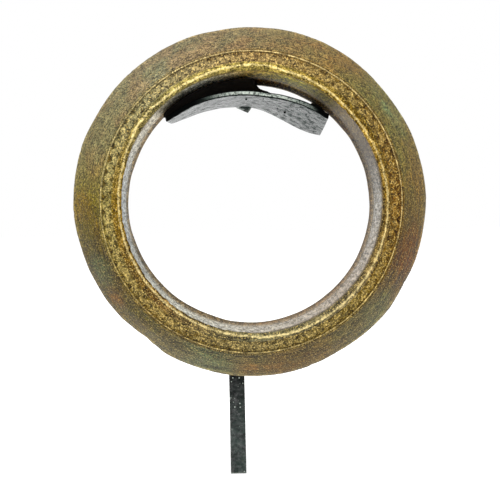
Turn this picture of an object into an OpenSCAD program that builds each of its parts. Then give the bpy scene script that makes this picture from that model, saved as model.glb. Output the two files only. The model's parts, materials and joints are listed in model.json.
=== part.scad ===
// Decorated cast ring resting on the bent saddle of a small black stand.
// Millimetres. The origin is the middle of the post's foot, +Z is up, the front faces -Y.

/* [Ring] */
// Inner radius at the two polished lips
bore_radius = 37.5; // [36.5:0.5:38.5]
// Largest outer radius, at the keel
keel_radius = 53; // [51:0.5:55]
// Width from the front lip to the rear lip
ring_width = 32; // [30:0.5:33]
// Radius of the rounded lips
lip_round = 1.25; // [1:0.05:1.5]
// Depth of the shallow channel between the lips, inside the bore
channel_depth = 0.5; // [0.2:0.1:1]
// Radius of the raised line where the decorated band ends
line_radius = 43.4; // [43:0.1:44]
// How far the band falls back from the lip to the raised line
band_fall = 2.3; // [1.5:0.1:3]
// How much the outer bevels swell between the line and the keel
bevel_swell = 0.5; // [0.3:0.1:0.8]

/* [Punched Band] */
// Punch marks in each row around the band
tooth_count = 70; // [50:2:80]
// Depth of the punched marks
tooth_depth = 0.25; // [0.15:0.05:0.35]
// Length of a mark, from its base to its point
tooth_length = 1.3; // [1:0.1:1.5]
// Share of the spacing that the base of a mark fills
tooth_fill = 0.72; // [0.5:0.02:0.8]

/* [Saddle] */
// Radius of the bend, on the underside of the strip
saddle_bend = 41.3; // [40.5:0.1:42]
// Thickness of the strip
saddle_thickness = 1.5; // [1:0.1:1.8]
// Length of the strip from front to rear
saddle_length = 28; // [24:1:28]
// Turn of the bend against the ring's axis, from careless hand bending
saddle_skew = 8.6; // [0:0.1:9]
// Fall of the bend towards the rear
saddle_dip = 2.8; // [0:0.1:3]
// Drop of the bend's centre below the ring's centre, at the front edge
bend_drop = 10.3; // [10:0.1:11]
// Distance of the bend's centre to the left of the ring's centre, at the front edge
bend_shift = 1.07; // [0:0.01:1.5]
// Gap between the tops of the pads and the lips they carry
pad_clearance = 0.3; // [0.3:0.05:0.5]
// Thickness of the short right pad
right_pad_thickness = 1.6; // [1:0.1:2.4]
// Distance of the left pad behind the front edge of the strip
left_pad_setback = 8; // [1:0.5:12]
// Distance of the right pad behind the front edge of the strip
right_pad_setback = 2; // [1:0.5:12]

/* [Stand] */
// Side of the square bar used for post, arm and hanger
bar_side = 5; // [4:0.5:5.5]
// Height of the ring's centre above the foot
ring_height = 86.5; // [80:0.5:110]
// Distance of the ring's centre to the right of the post
ring_offset = 4.85; // [0:0.05:6]
// Gap between the rear lip and the bars behind it
rear_gap = 3; // [2:0.5:5]
// Radius to the middle of the bent arm
arm_radius = 46.5; // [46:0.1:47.5]
// Distance of the hanger to the left of the ring's centre
hanger_offset = 0.8; // [0:0.1:2]
// Radius of the tapped hole in the foot
foot_hole_radius = 1.25; // [1:0.05:1.5]
// Depth of the tapped hole in the foot
foot_hole_depth = 10; // [6:1:16]

/* [Colours] */
// Patinated copper alloy
bronze = "#8C7A4E";
// Black paint on steel
black_paint = "#23292A";
// Black felt
black_felt = "#0B0A0B";

/* [View] */
// Part to show, or all

/* [Hidden] */
$fn = 96;
half_bar = bar_side / 2;
half_width = ring_width / 2;
// The bars stand in one plane, so the ring's rear lip is measured from their front faces.
rear_lip_y = -half_bar - rear_gap;
middle_y = rear_lip_y - half_width;
front_lip_y = rear_lip_y - ring_width;
// Ring section: x is the radius, y the distance from the middle of the width.
crest_radius = bore_radius + lip_round;
crest_y = half_width - lip_round;
channel_radius = bore_radius + channel_depth;
channel_half = half_width - 5;
groove_radius = crest_radius + lip_round + 0.2;
groove_y = half_width - 1.1;
line_y = half_width - band_fall;
bevel_start = line_radius + 0.55;
bevel_y = line_y - 0.35;
// Each bevel is an arc through the raised line and a point just past the keel.
bevel_end = keel_radius + 0.35;
bevel_run = bevel_end - bevel_start;
bevel_chord = sqrt(bevel_run * bevel_run + bevel_y * bevel_y);
bevel_arc = (bevel_chord * bevel_chord / 4 + bevel_swell * bevel_swell) / (2 * bevel_swell);
bevel_back = bevel_arc - bevel_swell;
arc_x = (bevel_start + bevel_end) / 2 - bevel_back * bevel_y / bevel_chord;
arc_y = bevel_y / 2 - bevel_back * bevel_run / bevel_chord;
// The band runs down a slope from the groove to the raised line.
band_slope = atan((groove_y - line_y) / (line_radius - groove_radius));
band_middle = (groove_radius + line_radius - 0.35) / 2;
band_length = (line_radius - 0.35 - groove_radius) / cos(band_slope);
pitch = 360 / tooth_count;
tooth_base = 2 * PI * band_middle / tooth_count * tooth_fill;
// Saddle, measured from the ring's centre and its front lip.
saddle_rear_y = -half_bar;
saddle_front_y = saddle_rear_y - saddle_length;
pad_radius = bore_radius - pad_clearance;
arm_inner = arm_radius - half_bar;
arm_outer = arm_radius + half_bar;
hanger_tip = 28.7;

// Section of the ring before the bevels are rounded.
module ringBlank() {
    half = [
        [channel_radius, channel_half], [bore_radius + 0.06, channel_half + 2.2],
        [bore_radius + 0.06, crest_y], [crest_radius, crest_y + lip_round * 0.4],
        [crest_radius + lip_round * 0.9, crest_y + lip_round * 0.2],
        [groove_radius, groove_y], [line_radius - 0.35, line_y + 0.08],
        [line_radius - 0.15, line_y + 0.32], [line_radius + 0.15, line_y + 0.25],
        [bevel_start - 0.2, bevel_y], [bevel_start - 0.05, bevel_y],
        [bevel_end, bevel_y]
    ];
    polygon(concat(half, [for (i = [len(half) - 1:-1:0]) [half[i][0], -half[i][1]]]));
}

module ringSection() {
    intersection() {
        ringBlank();
        translate([arc_x, arc_y]) circle(r = bevel_arc);
        translate([arc_x, -arc_y]) circle(r = bevel_arc);
        translate([0, -half_width]) square([keel_radius, ring_width]);
    }
}

module roundedLips() {
    for (side = [-1, 1]) translate([0, 0, side * crest_y])
        rotate_extrude() translate([crest_radius, 0]) circle(r = lip_round);
}

// Two rows of punched triangles: the outer row points at the lip, the inner row away from it.
module punchMarks() {
    for (i = [0:tooth_count - 1]) {
        rotate([0, 0, i * pitch]) translate([band_middle, 0, (groove_y + line_y) / 2])
            rotate([0, band_slope, 0]) {
                translate([0, 0, -tooth_depth]) linear_extrude(height = 2)
                    polygon([[band_length / 2, -tooth_base / 2], [band_length / 2, tooth_base / 2],
                             [band_length / 2 - tooth_length, 0]]);
            }
        rotate([0, 0, (i + 0.5) * pitch]) translate([band_middle, 0, (groove_y + line_y) / 2])
            rotate([0, band_slope, 0]) {
                translate([0, 0, -tooth_depth]) linear_extrude(height = 2)
                    polygon([[-band_length / 2, -tooth_base / 2], [-band_length / 2, tooth_base / 2],
                             [tooth_length - band_length / 2, 0]]);
            }
    }
}

module ring_casting() {
    color(bronze) translate([ring_offset, middle_y, ring_height]) rotate([90, 0, 0])
        difference() {
            union() {
                rotate_extrude() ringSection();
                roundedLips();
            }
            punchMarks();
        }
}

// Places a solid along the axis that the saddle is bent around.
module alongBend(reach = 60) {
    translate([ring_offset - bend_shift, front_lip_y + 7, ring_height - bend_drop])
        rotate([-90 - saddle_dip, 0, saddle_skew]) translate([0, 0, -reach / 2]) children();
}

// Outline of the strip seen from above.
module saddleOutline() {
    translate([ring_offset, 0]) polygon([
        [-24.3, saddle_front_y], [22.9, saddle_front_y],
        [23.1, saddle_rear_y], [-23.8, saddle_rear_y]]);
}

module saddle_strip() {
    color(black_paint) intersection() {
        alongBend(90) difference() {
            cylinder(h = 90, r = saddle_bend + saddle_thickness);
            translate([0, 0, -1]) cylinder(h = 92, r = saddle_bend);
        }
        translate([0, 0, ring_height + 8]) linear_extrude(height = 40) saddleOutline();
    }
}

// Space inside the ring's lips, over the strip, from a setback behind its front edge.
module padSpace(left, right, setback) {
    intersection() {
        translate([ring_offset, 0, ring_height]) rotate([90, 0, 0])
            translate([0, 0, -10]) cylinder(h = 80, r = pad_radius);
        translate([ring_offset + left, saddle_front_y + setback, ring_height + 8])
            cube([right - left, saddle_length - setback - 0.6, 40]);
    }
}

module saddle_pad_left() {
    color(black_felt) difference() {
        intersection() {
            padSpace(-25.2, 12, left_pad_setback);
            translate([ring_offset, 0, ring_height]) rotate([90, 0, 0])
                translate([0, 0, -10]) linear_extrude(height = 80)
                    polygon([[-30, 10], [9.5, 10], [9.2, 31.2], [7.5, 32.9], [4, 34.1],
                             [2.6, 35.2], [2, 40], [-30, 40]]);
        }
        alongBend(90) cylinder(h = 90, r = saddle_bend + saddle_thickness);
    }
}

module saddle_pad_right() {
    color(black_felt) intersection() {
        padSpace(16.5, 22.7, right_pad_setback);
        alongBend(90) difference() {
            cylinder(h = 90, r = saddle_bend + saddle_thickness + right_pad_thickness);
            translate([0, 0, -1]) cylinder(h = 92, r = saddle_bend + saddle_thickness);
        }
    }
}

// Full disc in the plane of the bars, centred on the ring.
module barPlaneDisc(radius, extra = 0) {
    translate([ring_offset, half_bar + extra, ring_height]) rotate([90, 0, 0])
        cylinder(h = bar_side + 2 * extra, r = radius);
}

module hanger() {
    color(black_paint) intersection() {
        barPlaneDisc(arm_inner);
        translate([ring_offset - hanger_offset, half_bar, ring_height]) rotate([90, 0, 0])
            linear_extrude(height = bar_side)
                polygon([[-half_bar, hanger_tip + 1.3], [0.6, hanger_tip],
                         [half_bar, hanger_tip + 1.4], [half_bar, 60], [-half_bar, 60]]);
    }
}

module support_arm() {
    start = 90 - asin((half_bar - hanger_offset) / arm_radius);
    finish = 270 - asin((ring_offset - half_bar) / arm_radius);
    color(black_paint) translate([ring_offset, half_bar, ring_height]) rotate([90, 0, 0])
        rotate([0, 0, start]) rotate_extrude(angle = finish - start)
            translate([arm_inner, 0]) square(bar_side);
}

module post() {
    color(black_paint) difference() {
        translate([-half_bar, -half_bar, 0]) cube([bar_side, bar_side, ring_height - arm_inner]);
        barPlaneDisc(arm_outer, 1);
        translate([0, 0, -1]) cylinder(h = foot_hole_depth + 1, r = foot_hole_radius);
    }
}

ring_casting();
saddle_strip();
saddle_pad_left();
saddle_pad_right();
hanger();
support_arm();
post();
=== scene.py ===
import json
import math
import random
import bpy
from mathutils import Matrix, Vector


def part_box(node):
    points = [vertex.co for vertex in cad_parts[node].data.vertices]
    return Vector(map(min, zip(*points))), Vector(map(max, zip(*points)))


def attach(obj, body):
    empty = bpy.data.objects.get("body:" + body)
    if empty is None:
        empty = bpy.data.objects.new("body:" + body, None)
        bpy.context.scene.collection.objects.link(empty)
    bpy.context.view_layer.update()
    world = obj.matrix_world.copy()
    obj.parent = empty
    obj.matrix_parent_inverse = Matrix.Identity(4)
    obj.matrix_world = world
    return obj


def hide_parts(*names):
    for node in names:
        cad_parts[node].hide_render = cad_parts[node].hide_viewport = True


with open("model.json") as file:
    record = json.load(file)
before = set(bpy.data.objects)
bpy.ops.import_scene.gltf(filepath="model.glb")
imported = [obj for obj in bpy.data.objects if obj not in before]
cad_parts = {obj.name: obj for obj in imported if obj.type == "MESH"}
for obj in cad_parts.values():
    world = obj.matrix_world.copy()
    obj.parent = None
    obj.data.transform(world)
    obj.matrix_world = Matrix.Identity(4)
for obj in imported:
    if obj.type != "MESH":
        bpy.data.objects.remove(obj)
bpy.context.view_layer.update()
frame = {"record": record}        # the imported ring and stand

from types import SimpleNamespace

import bmesh
import bpy
from mathutils import Matrix, Vector, noise

mm = 0.001

# where the solids put things
ringLow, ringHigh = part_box("ring_casting")
stripLow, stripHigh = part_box("saddle_strip")
postLow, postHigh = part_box("post")
hangerLow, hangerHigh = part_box("hanger")
ringCentre = (ringLow + ringHigh) / 2
keelRadius = (ringHigh.x - ringLow.x) / 2
halfWidth = (ringHigh.y - ringLow.y) / 2
stripLength = (stripHigh.y - stripLow.y) / mm
barSide = postHigh.x - postLow.x


def smoothStep(low, high, value):
    x = min(max((value - low) / (high - low), 0.0), 1.0)
    return x * x * (3 - 2 * x)


def roll(x, y, z, size, seed=0.0):
    # soft noise from -1 to 1 with lumps about one size across, all in metres
    return noise.noise(Vector((x / size + seed, y / size - seed * 0.37, z / size + seed * 1.7)))


def linearColour(red, green, blue):
    # 0-255 screen values to a linear node colour
    out = []
    for value in (red, green, blue):
        c = value / 255
        out.append(c / 12.92 if c <= 0.04045 else ((c + 0.055) / 1.055) ** 2.4)
    return (*out, 1.0)


def roundTable(table):
    # smooth value at each tenth of a degree from a table of (degrees, value) that goes once round
    points = table + [(table[0][0] + 360, table[0][1])]
    values = []
    for tenth in range(3600):
        degrees = tenth / 10
        (a, va), (b, vb) = next(pair for pair in zip(points, points[1:]) if pair[1][0] >= degrees)
        values.append(va + (vb - va) * smoothStep(a, b, degrees))
    return values


def tableValue(values, degrees):
    return values[int(degrees * 10) % 3600]


def newVerts(made):
    return [item for item in made["geom"] if isinstance(item, bmesh.types.BMVert)]


def pieceFromMesh(bm, name, body, material, replaced=()):
    bmesh.ops.recalc_face_normals(bm, faces=bm.faces[:])
    mesh = bpy.data.meshes.new(name)
    bm.to_mesh(mesh)
    bm.free()
    mesh.materials.append(material)
    for polygon in mesh.polygons:
        polygon.use_smooth = True
    piece = bpy.data.objects.new(name, mesh)
    bpy.context.scene.collection.objects.link(piece)
    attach(piece, body)
    if replaced:
        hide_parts(*replaced)
    print("made", name, len(mesh.polygons), "faces")
    return piece


# nodes are added to whichever tree is being built
graph = SimpleNamespace(tree=None)


def addNode(kind, settings=None, inputs=None):
    node = graph.tree.nodes.new(kind)
    for key, value in (settings or {}).items():
        setattr(node, key, value)
    for key, value in (inputs or {}).items():
        plug(value, node.inputs[key])
    return node


def plug(value, socket):
    # links another node's output to a socket, or sets a plain value on it
    if hasattr(value, "links"):
        graph.tree.links.new(value, socket)
    else:
        socket.default_value = value


def newMaterial(name):
    material = bpy.data.materials.new(name)
    material.use_nodes = True
    graph.tree = material.node_tree
    return material, graph.tree.nodes["Principled BSDF"]


def mathNode(operation, a, b=0.0, clamp=False):
    node = addNode("ShaderNodeMath", {"operation": operation, "use_clamp": clamp}, {0: a, 1: b})
    return node.outputs[0]


def times(a, b):
    return mathNode("MULTIPLY", a, b)


def plus(a, b):
    return mathNode("ADD", a, b)


def minus(a, b):
    return mathNode("SUBTRACT", a, b)


def larger(a, b):
    return mathNode("MAXIMUM", a, b)


def outside(mask):
    return minus(1.0, mask)


def vectorNode(operation, inputs, output=0):
    return addNode("ShaderNodeVectorMath", {"operation": operation}, inputs).outputs[output]


def mixColour(factor, a, b, blend="MIX"):
    node = addNode("ShaderNodeMix", {"data_type": "RGBA", "blend_type": blend})
    for socket, value in ((node.inputs[0], factor), (node.inputs[6], a), (node.inputs[7], b)):
        plug(value, socket)
    return node.outputs[2]


def tinted(colour, by, share=1.0):
    return mixColour(share, colour, by, "MULTIPLY")


def rampNode(source, stops, interpolation="LINEAR"):
    # stops: (position, colour or grey number)
    node = addNode("ShaderNodeValToRGB", None, {0: source})
    ramp = node.color_ramp
    ramp.interpolation = interpolation
    while len(ramp.elements) < len(stops):
        ramp.elements.new(0.5)
    for element, (position, colour) in zip(ramp.elements, stops):
        element.position = position
        element.color = colour if hasattr(colour, "__len__") else (colour, colour, colour, 1)
    return node.outputs[0]


def noiseNode(vector, scale, detail=3.0, rough=0.55, distortion=0.0, w=None):
    settings = {"noise_dimensions": "4D" if w is not None else "3D"}
    inputs = {"Vector": vector, "Scale": scale, "Detail": detail, "Roughness": rough,
              "Distortion": distortion}
    if w is not None:
        inputs["W"] = w
    return addNode("ShaderNodeTexNoise", settings, inputs).outputs[0]


def objectCoordinates(centre=(0, 0, 0)):
    coordinates = addNode("ShaderNodeTexCoord").outputs["Object"]
    shift = {"Vector": coordinates, "Location": tuple(-c for c in centre)}
    return addNode("ShaderNodeMapping", None, shift).outputs[0]


def stretched(place, scale):
    return addNode("ShaderNodeMapping", None, {"Vector": place, "Scale": scale}).outputs[0]


def attributeNode(name):
    return addNode("ShaderNodeAttribute", {"attribute_name": name})


def plugBump(shader, height, strength, distance):
    settings = {"Strength": strength, "Distance": distance, "Height": height}
    bump = addNode("ShaderNodeBump", None, settings)
    plug(bump.outputs[0], shader.inputs["Normal"])


ringShape = {
    "boreRadius": 37.5,       # at the lips, mm
    "channelDepth": 0.5,
    "channelEdge": 5.0,       # behind the front
    # the step from channel to lip: how far outside the bore, how far behind the front
    "boreStep": [(0.45, 5.0), (0.30, 4.2), (0.12, 3.4), (0.32, 3.0), (0.10, 2.6), (0.02, 2.1)],
    "creasePlace": 3.0,
    "lipRound": 1.25,
    "grooveGap": 0.2,
    "grooveFall": 1.1,
    "lineRadius": 43.4,
    # the raised line between two scratched grooves: out from its radius, forward of the band's end
    "raisedLine": [(-0.30, -0.02), (-0.15, 0.26), (0.0, 0.31), (0.14, 0.22), (0.32, -0.38)],
    "bandFall": 2.3,
    "bevelGap": 0.55,
    "bevelFall": 0.35,
    "bevelSwell": 0.5,
    "bevelFoot": 0.9,
    "stepsPerTooth": 10,      # columns of the mesh across one tooth
    "teeth": 70,
    "toothDepth": 0.30,
    "toothLength": 1.4,
    "toothFill": 0.74,
    "rearToothShift": 17,     # the rear band starts on another mark
    "lumpDepth": 0.12,        # slow unevenness of the casting
    "grainDepth": 0.05,
}

# how far the keel is worn in, mm, at degrees clockwise from the top
rimWear = roundTable([
    (0, 0.75), (20, 0.48), (40, 0.57), (50, 0.80), (70, 0.38), (90, 0.02), (100, 0.28), (110, 0.22),
    (120, 0.55), (130, 0.22), (150, 0.68), (170, 0.46), (190, 0.70), (200, 0.84), (210, 0.92),
    (215, 1.45), (219, 1.85), (224, 1.50), (230, 1.15), (240, 0.93), (250, 0.68), (270, 0.10),
    (290, 0.02), (300, 0.33), (320, 0.35), (340, 0.53), (350, 0.86),
])

# how much of the punched work is left, the same way
punchLeft = roundTable([
    (0, 0.35), (30, 0.45), (48, 0.85), (62, 1.15), (100, 1.1), (125, 0.55), (160, 0.4), (190, 0.5),
    (215, 0.6), (245, 0.9), (265, 1.2), (290, 1.15), (310, 0.7), (340, 0.5),
])

# how far the front lip's crest has been pushed outward, mm
lipDrift = roundTable([
    (0, 0.45), (8, 0.4), (14, -0.15), (30, -0.15), (50, -0.5), (60, -0.4), (67, -0.1), (85, 0.15),
    (100, 0.35), (140, 0.4), (165, 0.3), (176, 0.05), (185, -0.5), (205, -0.7), (240, -0.85),
    (265, -0.72), (285, -0.5), (300, 0.0), (304, 0.45), (313, 0.4), (321, 0.0), (335, -0.1), (350, 0.2),
])

# how far the rear lip stands out from (or into) the bore, mm; the saddle's felt covers 330 to 2
rearDrift = roundTable([
    (0, 0.0), (2, -0.1), (5, -1.0), (26, -0.8), (36, -0.7), (50, -0.45), (60, -0.15), (80, 0.08),
    (100, 0.33), (130, 0.35), (145, 0.2), (170, 0.08), (190, -0.1), (200, -0.45), (225, -0.31),
    (250, -0.16), (260, 0.14), (280, 0.0), (292, -0.28), (312, -0.2), (325, 0.0), (340, 0.0),
])

# nicks in the front lip: degrees clockwise from the top, depth mm, half width in degrees
lipNicks = [(6, 0.22, 1.6), (47, 0.15, 1.1), (118, 0.18, 1.3), (171, 0.2, 1.2), (236, 0.16, 2.0),
            (305, 0.14, 1.4)]


def bevelArc(shape, start, height, keel):
    # the swelling bevel, the same arc as the solid's
    rows = 21
    run = keel + 0.35 - start
    chord = math.hypot(run, height)
    swell = shape["bevelSwell"]
    arc = (chord * chord / 4 + swell * swell) / (2 * swell)
    back = arc - swell
    arcX = start + run / 2 - back * height / chord
    arcY = height / 2 - back * run / chord
    foot = shape["bevelFoot"] - arcY
    first = math.atan2(height - arcY, start - arcX)
    last = math.atan2(foot, math.sqrt(arc * arc - foot ** 2))
    turns = [first + (last - first) * i / (rows - 1) for i in range(rows)]
    return [(min(arcX + arc * math.cos(turn), keel - 0.1), arcY + arc * math.sin(turn)) for turn in turns]


def halfProfile(shape):
    # (radius, distance from the middle) in mm, from the middle of the bore to the keel
    half = halfWidth / mm
    keel = keelRadius / mm
    bore = shape["boreRadius"]
    lip = shape["lipRound"]
    line = shape["lineRadius"]
    channelRows, lipRows, bandRows = 8, 13, 15
    lineHeight = half - shape["bandFall"]
    groove = bore + 2 * lip + shape["grooveGap"]
    grooveHeight = half - shape["grooveFall"] - 0.02
    points = [(bore + shape["channelDepth"], (half - shape["channelEdge"]) * i / channelRows)
              for i in range(channelRows)]
    points += [(bore + out, half - behind) for out, behind in shape["boreStep"]]
    for i in range(lipRows):                             # rounded lip
        turn = math.radians(185 - 170 * i / (lipRows - 1))
        points.append((bore + lip + lip * math.cos(turn), half - lip + lip * math.sin(turn)))
    points.append((groove - 0.1, grooveHeight))
    for i in range(bandRows):                            # sloping band
        share = i / (bandRows - 1)
        points.append((groove + 0.08 + (line - 0.42 - groove) * share,
                       grooveHeight + (lineHeight + 0.06 - grooveHeight) * share))
    points += [(line + out, lineHeight + up) for out, up in shape["raisedLine"]]
    points += bevelArc(shape, line + shape["bevelGap"], lineHeight - shape["bevelFall"], keel)
    points.append((keel - 0.02, 0.45))
    return points


def insideTooth(across, along, halfBase, length):
    # distance in mm inside a triangle with its base at along 0 and its point at along length
    slope = halfBase / length
    side = (halfBase - abs(across) - along * slope) / math.hypot(1, slope)
    return min(side, along)


def makeToothMarks(shape, rng):
    marks = []
    for _ in range(2 * shape["teeth"]):
        marks.append({
            "depth": rng.uniform(0.3, 1.25),
            "shift": rng.uniform(-0.3, 0.3),
            "skew": rng.uniform(-0.3, 0.3),
            "length": rng.uniform(0.7, 1.12),
        })
    return marks


def punchDepth(shape, marks, radius, degrees, side, breakUp):
    # depth in mm of the two rows of triangles at a place on the band; breakUp makes their edges ragged
    teeth = shape["teeth"]
    inner = shape["boreRadius"] + 2 * shape["lipRound"] + shape["grooveGap"]
    outer = shape["lineRadius"] - 0.35
    pitch = 360 / teeth
    left = tableValue(punchLeft, degrees if side > 0 else -degrees)
    deepest = 0.0
    # the outer row points inward, the inner row outward from between its teeth and a little smaller
    rows = ((0, outer - radius, 1.0, 1.0), (1, radius - inner, 0.86, 0.8))
    for row, along, lengthShare, depthShare in rows:
        place = degrees / pitch - 0.5 * row
        index = round(place)
        mark = marks[(index + (shape["rearToothShift"] if side < 0 else 0)) % teeth + row * teeth]
        across = math.radians((place - index) * pitch) * radius - mark["shift"] - mark["skew"] * along
        halfBase = shape["toothFill"] * math.pi * radius / teeth
        length = shape["toothLength"] * mark["length"] * lengthShare
        into = insideTooth(across, along, halfBase, length) + breakUp
        if into > -0.05:
            depth = shape["toothDepth"] * mark["depth"] * smoothStep(-0.05, 0.34, into)
            deepest = max(deepest, depth * left * depthShare)
    return deepest


def spinRing(bm, shape):
    # one tooth's width of the section is spun, then repeated round the ring and joined up
    front = halfProfile(shape)
    loop = front + [(r, -t) for r, t in front[1:]][::-1]
    corners = [bm.verts.new((ringCentre.x, ringCentre.y - t * mm, ringCentre.z + r * mm)) for r, t in loop]
    edges = [bm.edges.new((a, b)) for a, b in zip(corners, corners[1:] + corners[:1])]
    toothTurn = 2 * math.pi / shape["teeth"]
    bmesh.ops.spin(bm, geom=corners + edges, cent=ringCentre, axis=(0, 1, 0), angle=toothTurn,
                   steps=shape["stepsPerTooth"], use_merge=False, use_duplicate=False)
    bmesh.ops.spin(bm, geom=bm.verts[:] + bm.edges[:] + bm.faces[:], cent=ringCentre, axis=(0, 1, 0),
                   angle=2 * math.pi - toothTurn, steps=shape["teeth"] - 1, use_merge=False,
                   use_duplicate=True)
    bmesh.ops.remove_doubles(bm, verts=bm.verts[:], dist=0.004 * mm)
    bmesh.ops.recalc_face_normals(bm, faces=bm.faces[:])
    bm.normal_update()


def lipWander(shape, offset, radius, ahead, degrees):
    # how far the front lip's crest stands outward, mm; its edge is a little torn
    x, z = offset.x, offset.z
    bore = shape["boreRadius"]
    half = halfWidth / mm
    rise = smoothStep(half - 1.6, half - 0.3, ahead) * (1 - smoothStep(bore + 2.2, bore + 2.7, radius))
    jitter = 0.22 * roll(x, 0, z, 0.0019, 14.0) + 0.16 * roll(x, 0, z, 0.0009, 27.0)
    return (tableValue(lipDrift, degrees) + jitter) * rise


def lipWave(offset, degrees, side):
    # small waves and nicks along a lip, mm
    wave = roll(offset.x, 0, offset.z, 0.006, 12.0) * 0.05 + roll(offset.x, 0, offset.z, 0.0021, 2.0) * 0.03
    for at, depth, wide in lipNicks:
        gap = abs((degrees - at + 180) % 360 - 180)
        if side > 0 and gap < wide:
            wave -= depth * (1 - (gap / wide) ** 2) ** 2
    return wave


def ringPoint(shape, marks, offset):
    # what the years have done at one point: outward and radial moves in mm, and the masks for its colour
    x, y, z = offset
    half = halfWidth / mm
    bore = shape["boreRadius"]
    line = shape["lineRadius"]
    lipOuter = bore + 2 * shape["lipRound"]
    radius = math.hypot(x, z) / mm
    ahead = abs(y) / mm
    side = 1 if y <= 0 else -1
    degrees = math.degrees(math.atan2(x, z)) % 360
    inBevel = smoothStep(line + 0.3, line + 0.9, radius)
    inBand = smoothStep(lipOuter + 0.05, lipOuter + 0.35, radius) * (1 - inBevel)
    inLip = smoothStep(half - 2.7, half - 1.6, ahead)
    inLip *= 1 - smoothStep(lipOuter - 0.1, lipOuter + 0.3, radius)
    inBore = (1 - inLip) * (1 - smoothStep(bore + 1.2, bore + 1.8, radius))
    offLine = abs(radius - line)
    onLine = 1 - smoothStep(0.12, 0.3, offLine)
    byLine = smoothStep(0.24, 0.34, offLine) * (1 - smoothStep(0.44, 0.6, offLine))
    # slow unevenness, then grain
    lump = roll(x, y, z, 0.011, 3.1) + 0.5 * roll(x, y, z, 0.005, 7.7)
    grain = roll(x, y, z, 0.0011, 1.3) + 0.7 * roll(x, y, z, 0.0006, 5.2)
    out = shape["lumpDepth"] * (lump - 0.55) * (0.25 + 0.75 * inBevel)
    out += shape["grainDepth"] * (grain - 0.6) * (0.4 + 0.9 * inBand + 0.4 * inBevel)
    sunk = 0.8 * byLine
    polish = 0.0
    drift = 0.0
    crestLine = 0.85 * onLine
    if inBand > 0:
        ragged = 0.11 - 0.07 * smoothStep(0.7, 1.1, tableValue(punchLeft, degrees))
        depth = punchDepth(shape, marks, radius, degrees, side, ragged * grain) * inBand
        pit = max(0.0, roll(x, y, z, 0.0013, 9.4) - 0.3) * 0.5 * inBand
        out -= depth + pit
        sunk = max(sunk, min(1.0, depth / (shape["toothDepth"] * 0.8) + pit * 3))
        polish = max(0.0, 0.32 - sunk) * inBand
    if inBevel > 0:
        pit = max(0.0, roll(x, y, z, 0.0019, 21.0) - 0.45) * 0.35
        out -= pit * inBevel
        sunk = max(sunk, min(1.0, pit * 3))
    if side < 0 and radius < lipOuter:
        rise = smoothStep(half - 5.0, half - 2.6, ahead) * (1 - smoothStep(bore + 0.9, lipOuter, radius))
        drift = tableValue(rearDrift, degrees) * rise
    if inLip > 0:
        if side > 0:
            drift = lipWander(shape, offset, radius, ahead, degrees)
            crestLine = 1 - smoothStep(0.008, 0.06, half - ahead)
        out += (lipWave(offset, degrees, side) - 0.05) * inLip
        polish = max(polish, 0.22 * inLip)
    if inBore > 0:
        out += 0.07 * (roll(x, y * 0.5, z, 0.0042, 31.0) - 0.5) * inBore
        crease = max(0.0, 1 - abs(ahead - (half - shape["creasePlace"])) / 0.6) * inBore
        sunk = max(sunk, crease)
    # the keel is worn in by handling, most of all low on the left
    keel = keelRadius / mm
    flat = smoothStep(keel - 6.5, keel, radius) * tableValue(rimWear, degrees)
    onKeel = smoothStep(keel - 1.6, keel - 0.2, radius)
    return SimpleNamespace(outward=out, radial=drift - flat, areas=(inBand, inLip, inBore, sunk),
                           worn=max(polish, onLine, onKeel * 0.35), crest=crestLine)


def makeRing(material):
    shape = ringShape
    marks = makeToothMarks(shape, random.Random(41))
    bm = bmesh.new()
    spinRing(bm, shape)
    areas = bm.verts.layers.float_color.new("areas")     # band, lip, bore, sunk
    worn = bm.verts.layers.float.new("worn")
    # crest marks the crests, which get a painted highlight and a smoother finish
    crest = bm.verts.layers.float.new("crest")           # thin bright edges
    moves = []
    for v in bm.verts:
        offset = v.co - ringCentre
        point = ringPoint(shape, marks, offset)
        v[areas] = point.areas
        v[worn] = point.worn
        v[crest] = point.crest
        radial = Vector((offset.x, 0, offset.z)).normalized() * (point.radial * mm)
        moves.append((v, v.normal * (point.outward * mm) + radial))
    for v, move in moves:
        v.co += move
        # nothing stands proud of the solid's box
        offset = v.co - ringCentre
        reach = math.hypot(offset.x, offset.z)
        if reach > keelRadius:
            v.co -= Vector((offset.x, 0, offset.z)) * (1 - keelRadius / reach)
        v.co.y = min(max(v.co.y, ringLow.y), ringHigh.y)
    return pieceFromMesh(bm, "bronzeRing", "ring", material, ["ring_casting"])


bronzeLook = {
    "grainScale": 1500.0,     # crisp patina grain, per metre
    "fleckScale": 2400.0,
    "pitScale": 1200.0,
    "mottleScale": 420.0,
    "blotchScale": 110.0,
    "streakRows": 1800.0,     # turning streaks, per metre across them
    "streakLift": 900.0,      # the same, along the ring's axis
    "streakTurns": 5.0,
    "boreMarks": (1100, 200, 1100),
    "warmth": 1.13,           # how much the patina's colour is deepened
    "gloss": 0.22,
    "bumpDepth": 0.0003,
}

# colours at degrees clockwise from the top, as 0-255 screen values
bevelZones = [
    (0, (112, 99, 79)), (30, (115, 97, 65)), (55, (97, 95, 61)), (80, (106, 92, 55)), (110, (71, 40, 4)),
    (135, (70, 69, 46)), (165, (78, 60, 35)), (200, (70, 73, 55)), (222, (72, 63, 28)),
    (250, (49, 40, 4)), (270, (98, 84, 25)), (290, (111, 102, 77)), (325, (112, 106, 91)),
    (360, (112, 99, 79)),
]
bandZones = [
    (0, (105, 85, 55)), (45, (94, 77, 37)), (90, (90, 60, 4)), (135, (92, 76, 29)), (180, (88, 78, 48)),
    (225, (89, 73, 32)), (270, (105, 98, 56)), (315, (92, 90, 67)), (360, (105, 85, 55)),
]
lipZones = [
    (0, (148, 133, 75)), (45, (98, 74, 9)), (90, (89, 63, 11)), (135, (71, 64, 48)), (180, (74, 75, 56)),
    (225, (70, 43, 4)), (270, (95, 71, 4)), (315, (99, 94, 57)), (360, (148, 133, 75)),
]
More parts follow.
